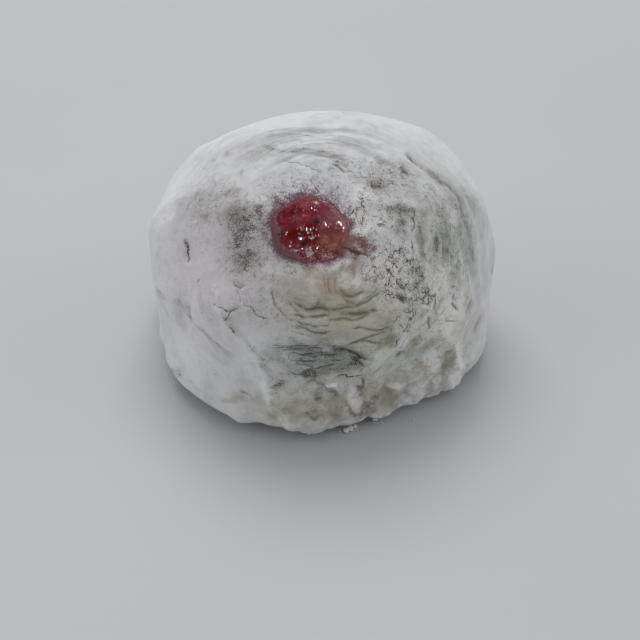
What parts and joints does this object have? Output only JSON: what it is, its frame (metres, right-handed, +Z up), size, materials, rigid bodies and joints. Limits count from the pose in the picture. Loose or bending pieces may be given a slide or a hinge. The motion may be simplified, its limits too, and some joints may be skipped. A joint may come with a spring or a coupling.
{
  "type": "strawberry mochi rice cake",
  "caption": "Soft dome of starch-dusted rice cake, folded and crumpled at its foot, with a wet strawberry showing through a tear high on the front.",
  "frame": {"origin": "middle of the flat foot that the cake rests on, at the middle of its box", "axes": "+Z up, -Y towards the torn front, +X to the right as seen from the front"},
  "size_m": [0.0506, 0.049, 0.0356],
  "materials": {
    "rice_skin": "matte, dusted with starch",
    "berry": "wet gloss"
  },
  "bodies": {
    "root": {"mochi": "rice_skin", "strawberry": "berry"}
  },
  "joints": []
}
